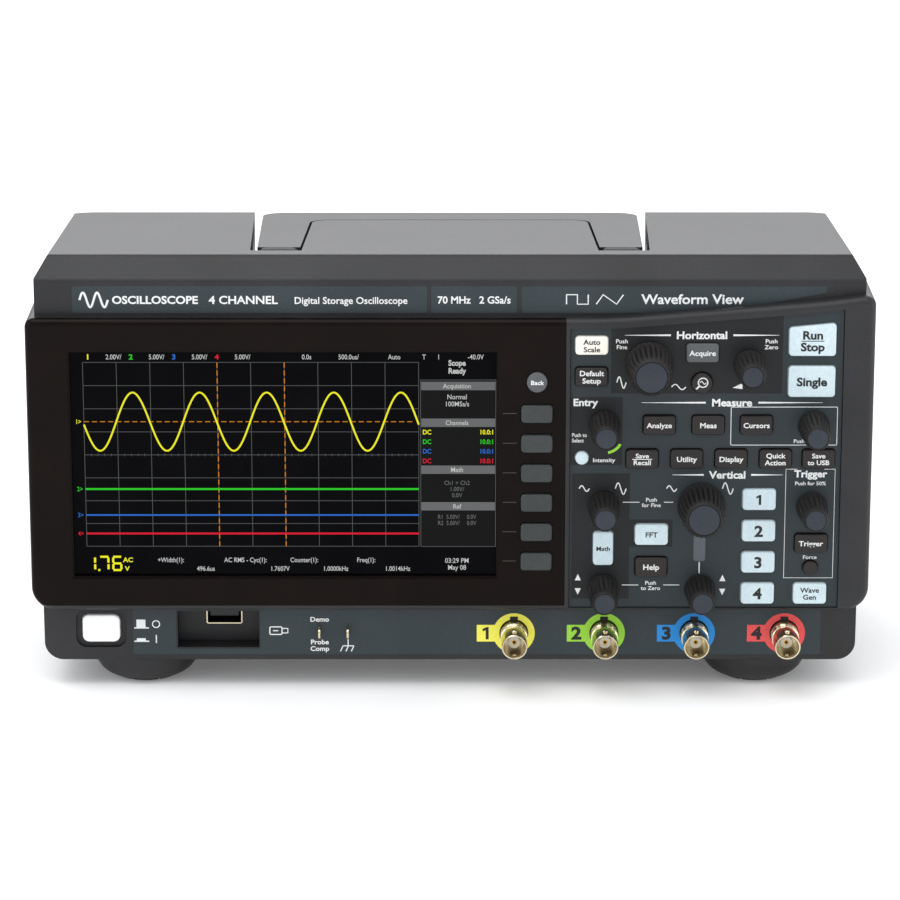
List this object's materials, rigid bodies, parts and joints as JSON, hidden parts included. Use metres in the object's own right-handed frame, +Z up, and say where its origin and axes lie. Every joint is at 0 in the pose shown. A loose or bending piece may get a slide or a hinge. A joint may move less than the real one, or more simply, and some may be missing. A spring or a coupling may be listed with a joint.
{
  "type": "oscilloscope",
  "caption": "Bench oscilloscope: wide display with soft keys, key and knob panel, front input sockets, flip-up carry handle, tilt legs and rear sockets.",
  "frame": {"origin": "on the standing surface, at the middle of the whole object's footprint", "axes": "+X to the right seen from the front, +Y from the front to the back, +Z up"},
  "size_m": [0.314, 0.147, 0.1659],
  "materials": {
    "charcoal_case": "fine moulded texture",
    "glossy_bezel": "piano gloss",
    "display_tray": "satin",
    "slate_panel": "satin moulded",
    "silicone_mat": "matte",
    "circuit_board": "solder mask",
    "plated_metal": "nickel plated",
    "socket_plastic": "moulded",
    "fan_plastic": "moulded",
    "zinc_steel": "zinc plated",
    "foot_rubber": "matte",
    "white_button": "satin",
    "knob_plastic": "soft moulded",
    "black_key": "satin silicone",
    "grey_key": "satin silicone",
    "lit_key": "translucent silicone",
    "cream_key": "translucent silicone"
  },
  "bodies": {
    "root": {"front_case": "charcoal_case", "rear_case": "charcoal_case", "display_bezel": "glossy_bezel", "display_module": "display_tray", "control_overlay": "slate_panel", "key_mat": "silicone_mat", "panel_board": "circuit_board", "main_board": "circuit_board", "front_sockets": "plated_metal", "rear_sockets": "socket_plastic", "power_supply": "circuit_board", "fan_frame": "fan_plastic", "case_screws": "zinc_steel", "foot_pads": "foot_rubber"},
    "carry_handle": {"carry_handle": "charcoal_case"},
    "tilt_leg_left": {"tilt_leg_left": "charcoal_case"},
    "tilt_leg_right": {"tilt_leg_right": "charcoal_case"},
    "power_button": {"power_button": "white_button"},
    "horizontal_scale_knob": {"horizontal_scale_knob": "knob_plastic"},
    "horizontal_position_knob": {"horizontal_position_knob": "knob_plastic"},
    "entry_knob": {"entry_knob": "knob_plastic"},
    "cursors_knob": {"cursors_knob": "knob_plastic"},
    "math_scale_knob": {"math_scale_knob": "knob_plastic"},
    "vertical_scale_knob": {"vertical_scale_knob": "knob_plastic"},
    "trigger_level_knob": {"trigger_level_knob": "knob_plastic"},
    "math_position_knob": {"math_position_knob": "knob_plastic"},
    "vertical_position_knob": {"vertical_position_knob": "knob_plastic"},
    "fan_rotor": {"fan_rotor": "fan_plastic"},
    "auto_scale_key": {"auto_scale_key": "cream_key"},
    "default_setup_key": {"default_setup_key": "black_key"},
    "acquire_key": {"acquire_key": "grey_key"},
    "single_key": {"single_key": "lit_key"},
    "analyze_key": {"analyze_key": "black_key"},
    "measure_key": {"measure_key": "black_key"},
    "cursors_key": {"cursors_key": "black_key"},
    "save_recall_key": {"save_recall_key": "black_key"},
    "utility_key": {"utility_key": "black_key"},
    "display_key": {"display_key": "black_key"},
    "quick_action_key": {"quick_action_key": "black_key"},
    "save_usb_key": {"save_usb_key": "black_key"},
    "math_key": {"math_key": "lit_key"},
    "fft_key": {"fft_key": "lit_key"},
    "help_key": {"help_key": "black_key"},
    "trigger_key": {"trigger_key": "black_key"},
    "wave_gen_key": {"wave_gen_key": "lit_key"},
    "zoom_key": {"zoom_key": "black_key"},
    "intensity_key": {"intensity_key": "lit_key"},
    "force_key": {"force_key": "black_key"},
    "channel_1_key": {"channel_1_key": "lit_key"},
    "channel_2_key": {"channel_2_key": "lit_key"},
    "channel_3_key": {"channel_3_key": "lit_key"},
    "channel_4_key": {"channel_4_key": "lit_key"},
    "run_stop_key": {"run_stop_key": "lit_key"},
    "softkey_1": {"softkey_1": "grey_key"},
    "softkey_2": {"softkey_2": "grey_key"},
    "softkey_3": {"softkey_3": "grey_key"},
    "softkey_4": {"softkey_4": "grey_key"},
    "softkey_5": {"softkey_5": "grey_key"},
    "softkey_6": {"softkey_6": "grey_key"},
    "back_key": {"back_key": "grey_key"}
  },
  "joints": [
    {"name": "handle_flip", "type": "hinge", "parent": "root", "child": "carry_handle", "pos_m": [0, -0.0227, 0.15796], "axis": [1, 0, 0], "range_deg": [0, 90]},
    {"name": "tilt_leg_left_flip", "type": "hinge", "parent": "root", "child": "tilt_leg_left", "pos_m": [-0.116, -0.0373, 0.0034], "axis": [-1, 0, 0], "range_deg": [0, 92]},
    {"name": "tilt_leg_right_flip", "type": "hinge", "parent": "root", "child": "tilt_leg_right", "pos_m": [0.116, -0.0373, 0.0034], "axis": [-1, 0, 0], "range_deg": [0, 92]},
    {"name": "power_button_press", "type": "slide", "parent": "root", "child": "power_button", "axis": [0, 1, 0], "range_m": [0, 0.003], "stiffness_N_per_m": 800},
    {"name": "horizontal_scale_knob_turn", "type": "hinge", "parent": "root", "child": "horizontal_scale_knob", "pos_m": [0.0736, -0.0538, 0.1272], "axis": [0, 1, 0], "continuous": true},
    {"name": "horizontal_position_knob_turn", "type": "hinge", "parent": "root", "child": "horizontal_position_knob", "pos_m": [0.1106, -0.0538, 0.1272], "axis": [0, 1, 0], "continuous": true},
    {"name": "entry_knob_turn", "type": "hinge", "parent": "root", "child": "entry_knob", "pos_m": [0.0573, -0.0538, 0.1039], "axis": [0, 1, 0], "continuous": true},
    {"name": "cursors_knob_turn", "type": "hinge", "parent": "root", "child": "cursors_knob", "pos_m": [0.1349, -0.0538, 0.1039], "axis": [0, 1, 0], "continuous": true},
    {"name": "math_scale_knob_turn", "type": "hinge", "parent": "root", "child": "math_scale_knob", "pos_m": [0.0573, -0.0538, 0.0728], "axis": [0, 1, 0], "continuous": true},
    {"name": "vertical_scale_knob_turn", "type": "hinge", "parent": "root", "child": "vertical_scale_knob", "pos_m": [0.0937, -0.0538, 0.073], "axis": [0, 1, 0], "continuous": true},
    {"name": "trigger_level_knob_turn", "type": "hinge", "parent": "root", "child": "trigger_level_knob", "pos_m": [0.1349, -0.0538, 0.0726], "axis": [0, 1, 0], "continuous": true},
    {"name": "math_position_knob_turn", "type": "hinge", "parent": "root", "child": "math_position_knob", "pos_m": [0.0573, -0.0538, 0.0404], "axis": [0, 1, 0], "continuous": true},
    {"name": "vertical_position_knob_turn", "type": "hinge", "parent": "root", "child": "vertical_position_knob", "pos_m": [0.0937, -0.0538, 0.0404], "axis": [0, 1, 0], "continuous": true},
    {"name": "fan_spin", "type": "hinge", "parent": "root", "child": "fan_rotor", "pos_m": [-0.03, 0.0635, 0.0735], "axis": [0, 1, 0], "continuous": true},
    {"name": "auto_scale_key_press", "type": "slide", "parent": "root", "child": "auto_scale_key", "axis": [0, 1, 0], "range_m": [0, 0.0012], "stiffness_N_per_m": 1500},
    {"name": "default_setup_key_press", "type": "slide", "parent": "root", "child": "default_setup_key", "axis": [0, 1, 0], "range_m": [0, 0.0012], "stiffness_N_per_m": 1500},
    {"name": "acquire_key_press", "type": "slide", "parent": "root", "child": "acquire_key", "axis": [0, 1, 0], "range_m": [0, 0.0012], "stiffness_N_per_m": 1500},
    {"name": "single_key_press", "type": "slide", "parent": "root", "child": "single_key", "axis": [0, 1, 0], "range_m": [0, 0.0012], "stiffness_N_per_m": 1500},
    {"name": "analyze_key_press", "type": "slide", "parent": "root", "child": "analyze_key", "axis": [0, 1, 0], "range_m": [0, 0.0012], "stiffness_N_per_m": 1500},
    {"name": "measure_key_press", "type": "slide", "parent": "root", "child": "measure_key", "axis": [0, 1, 0], "range_m": [0, 0.0012], "stiffness_N_per_m": 1500},
    {"name": "cursors_key_press", "type": "slide", "parent": "root", "child": "cursors_key", "axis": [0, 1, 0], "range_m": [0, 0.0012], "stiffness_N_per_m": 1500},
    {"name": "save_recall_key_press", "type": "slide", "parent": "root", "child": "save_recall_key", "axis": [0, 1, 0], "range_m": [0, 0.0012], "stiffness_N_per_m": 1500},
    {"name": "utility_key_press", "type": "slide", "parent": "root", "child": "utility_key", "axis": [0, 1, 0], "range_m": [0, 0.0012], "stiffness_N_per_m": 1500},
    {"name": "display_key_press", "type": "slide", "parent": "root", "child": "display_key", "axis": [0, 1, 0], "range_m": [0, 0.0012], "stiffness_N_per_m": 1500},
    {"name": "quick_action_key_press", "type": "slide", "parent": "root", "child": "quick_action_key", "axis": [0, 1, 0], "range_m": [0, 0.0012], "stiffness_N_per_m": 1500},
    {"name": "save_usb_key_press", "type": "slide", "parent": "root", "child": "save_usb_key", "axis": [0, 1, 0], "range_m": [0, 0.0012], "stiffness_N_per_m": 1500},
    {"name": "math_key_press", "type": "slide", "parent": "root", "child": "math_key", "axis": [0, 1, 0], "range_m": [0, 0.0012], "stiffness_N_per_m": 1500},
    {"name": "fft_key_press", "type": "slide", "parent": "root", "child": "fft_key", "axis": [0, 1, 0], "range_m": [0, 0.0012], "stiffness_N_per_m": 1500},
    {"name": "help_key_press", "type": "slide", "parent": "root", "child": "help_key", "axis": [0, 1, 0], "range_m": [0, 0.0012], "stiffness_N_per_m": 1500},
    {"name": "trigger_key_press", "type": "slide", "parent": "root", "child": "trigger_key", "axis": [0, 1, 0], "range_m": [0, 0.0012], "stiffness_N_per_m": 1500},
    {"name": "wave_gen_key_press", "type": "slide", "parent": "root", "child": "wave_gen_key", "axis": [0, 1, 0], "range_m": [0, 0.0012], "stiffness_N_per_m": 1500},
    {"name": "zoom_key_press", "type": "slide", "parent": "root", "child": "zoom_key", "axis": [0, 1, 0], "range_m": [0, 0.0012], "stiffness_N_per_m": 1500},
    {"name": "intensity_key_press", "type": "slide", "parent": "root", "child": "intensity_key", "axis": [0, 1, 0], "range_m": [0, 0.0012], "stiffness_N_per_m": 1500},
    {"name": "force_key_press", "type": "slide", "parent": "root", "child": "force_key", "axis": [0, 1, 0], "range_m": [0, 0.0012], "stiffness_N_per_m": 1500},
    {"name": "channel_1_key_press", "type": "slide", "parent": "root", "child": "channel_1_key", "axis": [0, 1, 0], "range_m": [0, 0.0012], "stiffness_N_per_m": 1500},
    {"name": "channel_2_key_press", "type": "slide", "parent": "root", "child": "channel_2_key", "axis": [0, 1, 0], "range_m": [0, 0.0012], "stiffness_N_per_m": 1500},
    {"name": "channel_3_key_press", "type": "slide", "parent": "root", "child": "channel_3_key", "axis": [0, 1, 0], "range_m": [0, 0.0012], "stiffness_N_per_m": 1500},
    {"name": "channel_4_key_press", "type": "slide", "parent": "root", "child": "channel_4_key", "axis": [0, 1, 0], "range_m": [0, 0.0012], "stiffness_N_per_m": 1500},
    {"name": "run_stop_key_press", "type": "slide", "parent": "root", "child": "run_stop_key", "axis": [0, 1, 0], "range_m": [0, 0.0012], "stiffness_N_per_m": 1500},
    {"name": "softkey_1_press", "type": "slide", "parent": "root", "child": "softkey_1", "axis": [0, 1, 0], "range_m": [0, 0.0012], "stiffness_N_per_m": 1500},
    {"name": "softkey_2_press", "type": "slide", "parent": "root", "child": "softkey_2", "axis": [0, 1, 0], "range_m": [0, 0.0012], "stiffness_N_per_m": 1500},
    {"name": "softkey_3_press", "type": "slide", "parent": "root", "child": "softkey_3", "axis": [0, 1, 0], "range_m": [0, 0.0012], "stiffness_N_per_m": 1500},
    {"name": "softkey_4_press", "type": "slide", "parent": "root", "child": "softkey_4", "axis": [0, 1, 0], "range_m": [0, 0.0012], "stiffness_N_per_m": 1500},
    {"name": "softkey_5_press", "type": "slide", "parent": "root", "child": "softkey_5", "axis": [0, 1, 0], "range_m": [0, 0.0012], "stiffness_N_per_m": 1500},
    {"name": "softkey_6_press", "type": "slide", "parent": "root", "child": "softkey_6", "axis": [0, 1, 0], "range_m": [0, 0.0012], "stiffness_N_per_m": 1500},
    {"name": "back_key_press", "type": "slide", "parent": "root", "child": "back_key", "axis": [0, 1, 0], "range_m": [0, 0.0012], "stiffness_N_per_m": 1500}
  ]
}
